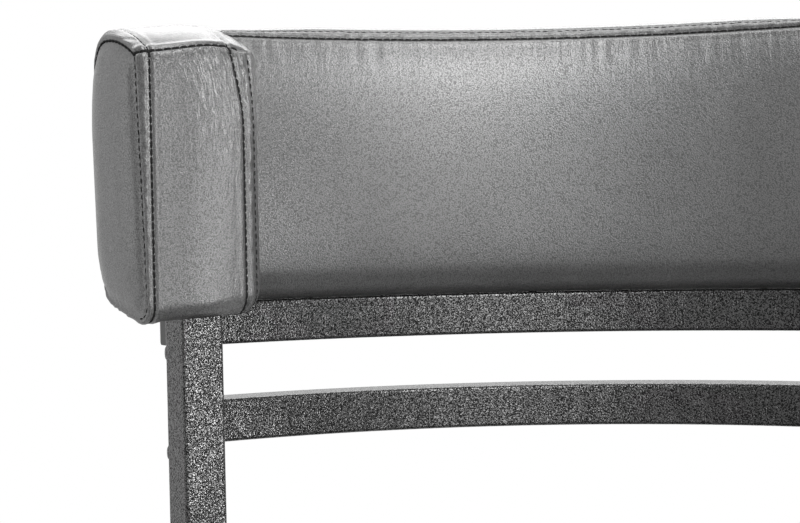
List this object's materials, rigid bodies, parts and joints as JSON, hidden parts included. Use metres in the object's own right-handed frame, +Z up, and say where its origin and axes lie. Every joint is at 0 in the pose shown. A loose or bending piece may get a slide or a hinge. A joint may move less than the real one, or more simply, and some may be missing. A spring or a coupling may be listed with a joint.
{
  "type": "counter stool",
  "caption": "Swivel counter stool: square-tube legs and foot rails, round-cornered cushion, and a curved padded back with deep end blocks above an open curved rail.",
  "frame": {"origin": "on the floor, under the swivel axis, at the middle of the four feet", "axes": "+Z up, the sitter faces -Y, +X is to the right as seen from in front"},
  "size_m": [0.5148, 0.4913, 1.0035],
  "materials": {
    "powder_coat": "dark grey hammered powder coat on square steel tube",
    "leather": "mid-grey grained upholstery leather over foam",
    "black_plastic": "moulded plugs and glides",
    "zinc": "zinc-plated swivel and fasteners",
    "plywood": "bare plywood, hidden under the upholstery"
  },
  "bodies": {
    "base": {"leg_front_left": "powder_coat", "leg_front_right": "powder_coat", "leg_rear_left": "powder_coat", "leg_rear_right": "powder_coat", "glide_front_left": "black_plastic", "glide_front_right": "black_plastic", "glide_rear_left": "black_plastic", "glide_rear_right": "black_plastic", "foot_rail_front": "powder_coat", "foot_rail_rear": "powder_coat", "foot_rail_left": "powder_coat", "foot_rail_right": "powder_coat", "base_plate": "powder_coat", "swivel_lower_plate": "zinc", "base_bolt_front_left": "zinc", "base_bolt_front_right": "zinc", "base_bolt_rear_left": "zinc", "base_bolt_rear_right": "zinc"},
    "balls": {"ball_cage": "zinc"},
    "seat": {"swivel_upper_plate": "zinc", "swivel_rivet": "zinc", "seat_bolt_front_left": "zinc", "seat_bolt_front_right": "zinc", "seat_bolt_rear_left": "zinc", "seat_bolt_rear_right": "zinc", "seat_hoop": "powder_coat", "seat_rear_bar": "powder_coat", "seat_bar_left": "powder_coat", "seat_bar_right": "powder_coat", "seat_board": "plywood", "seat_screw_front_left": "zinc", "seat_screw_front_right": "zinc", "seat_screw_rear_left": "zinc", "seat_screw_rear_right": "zinc", "seat_cushion": "leather", "post_left": "powder_coat", "post_right": "powder_coat", "post_cap_left": "black_plastic", "post_cap_right": "black_plastic", "lower_back_rail": "powder_coat", "upper_back_rail": "powder_coat", "lower_rail_cap_left": "black_plastic", "lower_rail_cap_right": "black_plastic", "upper_rail_cap_left": "black_plastic", "upper_rail_cap_right": "black_plastic", "back_core": "plywood", "core_screw_left": "zinc", "core_screw_middle": "zinc", "core_screw_right": "zinc", "back_pad": "leather"}
  },
  "joints": [
    {"name": "seat_swivel", "type": "hinge", "parent": "base", "child": "seat", "pos_m": [0, 0, 0.5441], "axis": [0, 0, 1], "continuous": true},
    {"name": "ball_roll", "type": "hinge", "parent": "base", "child": "balls", "pos_m": [0, 0, 0.5335], "axis": [0, 0, 1], "continuous": true}
  ],
  "couplings": [
    {"joint": "ball_roll", "follows": "seat_swivel", "ratio": 0.5}
  ]
}
